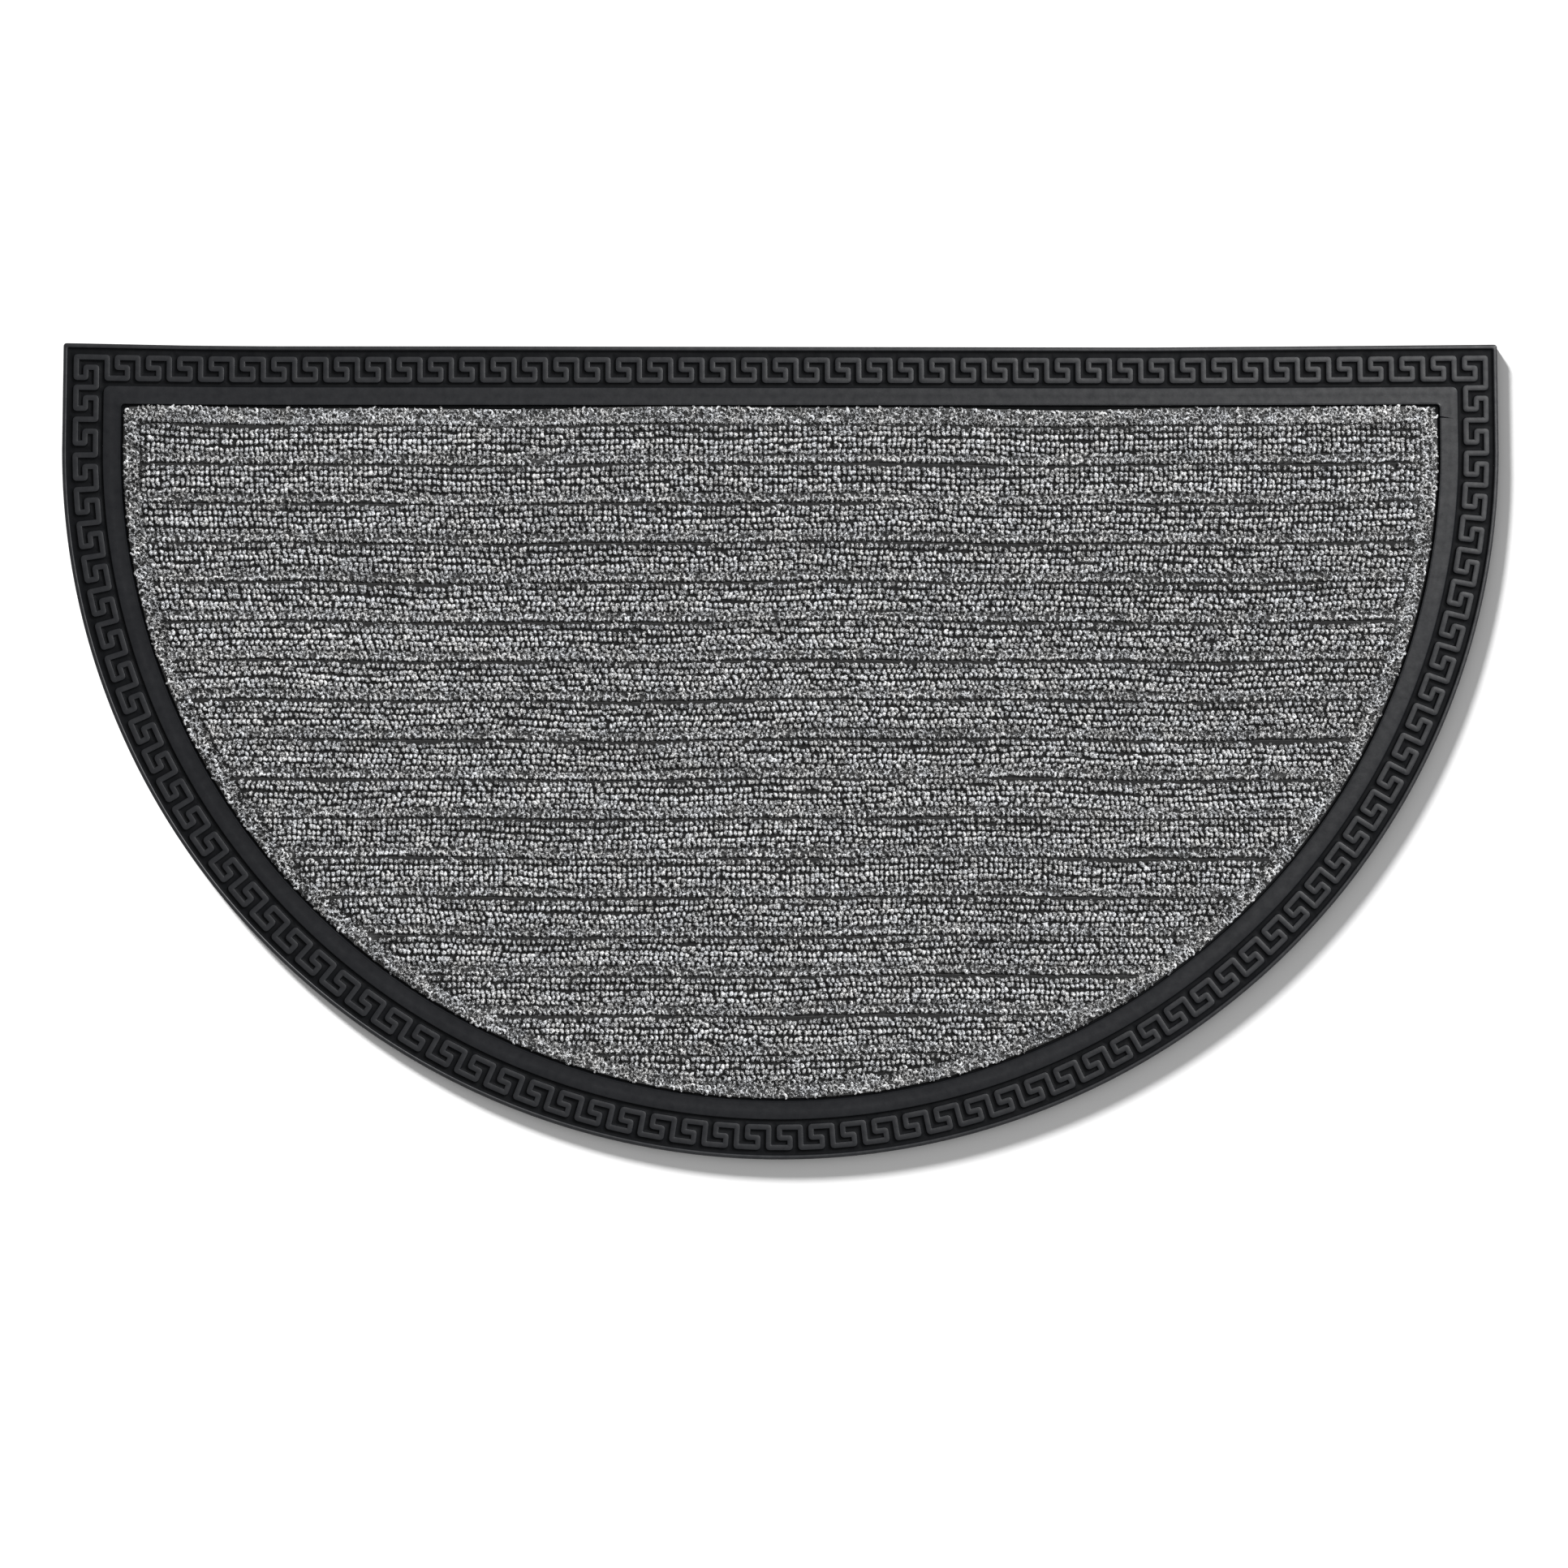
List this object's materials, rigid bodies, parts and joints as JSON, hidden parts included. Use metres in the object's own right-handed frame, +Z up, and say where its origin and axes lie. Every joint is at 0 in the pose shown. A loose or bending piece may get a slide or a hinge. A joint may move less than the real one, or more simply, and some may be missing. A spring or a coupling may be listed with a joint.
{
  "type": "half round doormat",
  "caption": "Half round doormat: a ribbed loop-pile carpet set flush into a moulded rubber base whose raised rim carries a Greek key border.",
  "frame": {"origin": "centre of the footprint, on the underside that lies on the floor", "axes": "+X along the straight edge, +Y from the round side towards the straight edge, +Z up out of the pile"},
  "size_m": [0.7, 0.3978, 0.0074],
  "materials": {
    "rubber": "matt moulded charcoal rubber, slightly dusty, with a soft sheen on raised edges",
    "carpet": "salt-and-pepper grey loop pile in rows, pressed flat between the ribs and along the margin"
  },
  "bodies": {
    "root": {"rubber_base": "rubber", "carpet_insert": "carpet"}
  },
  "joints": []
}
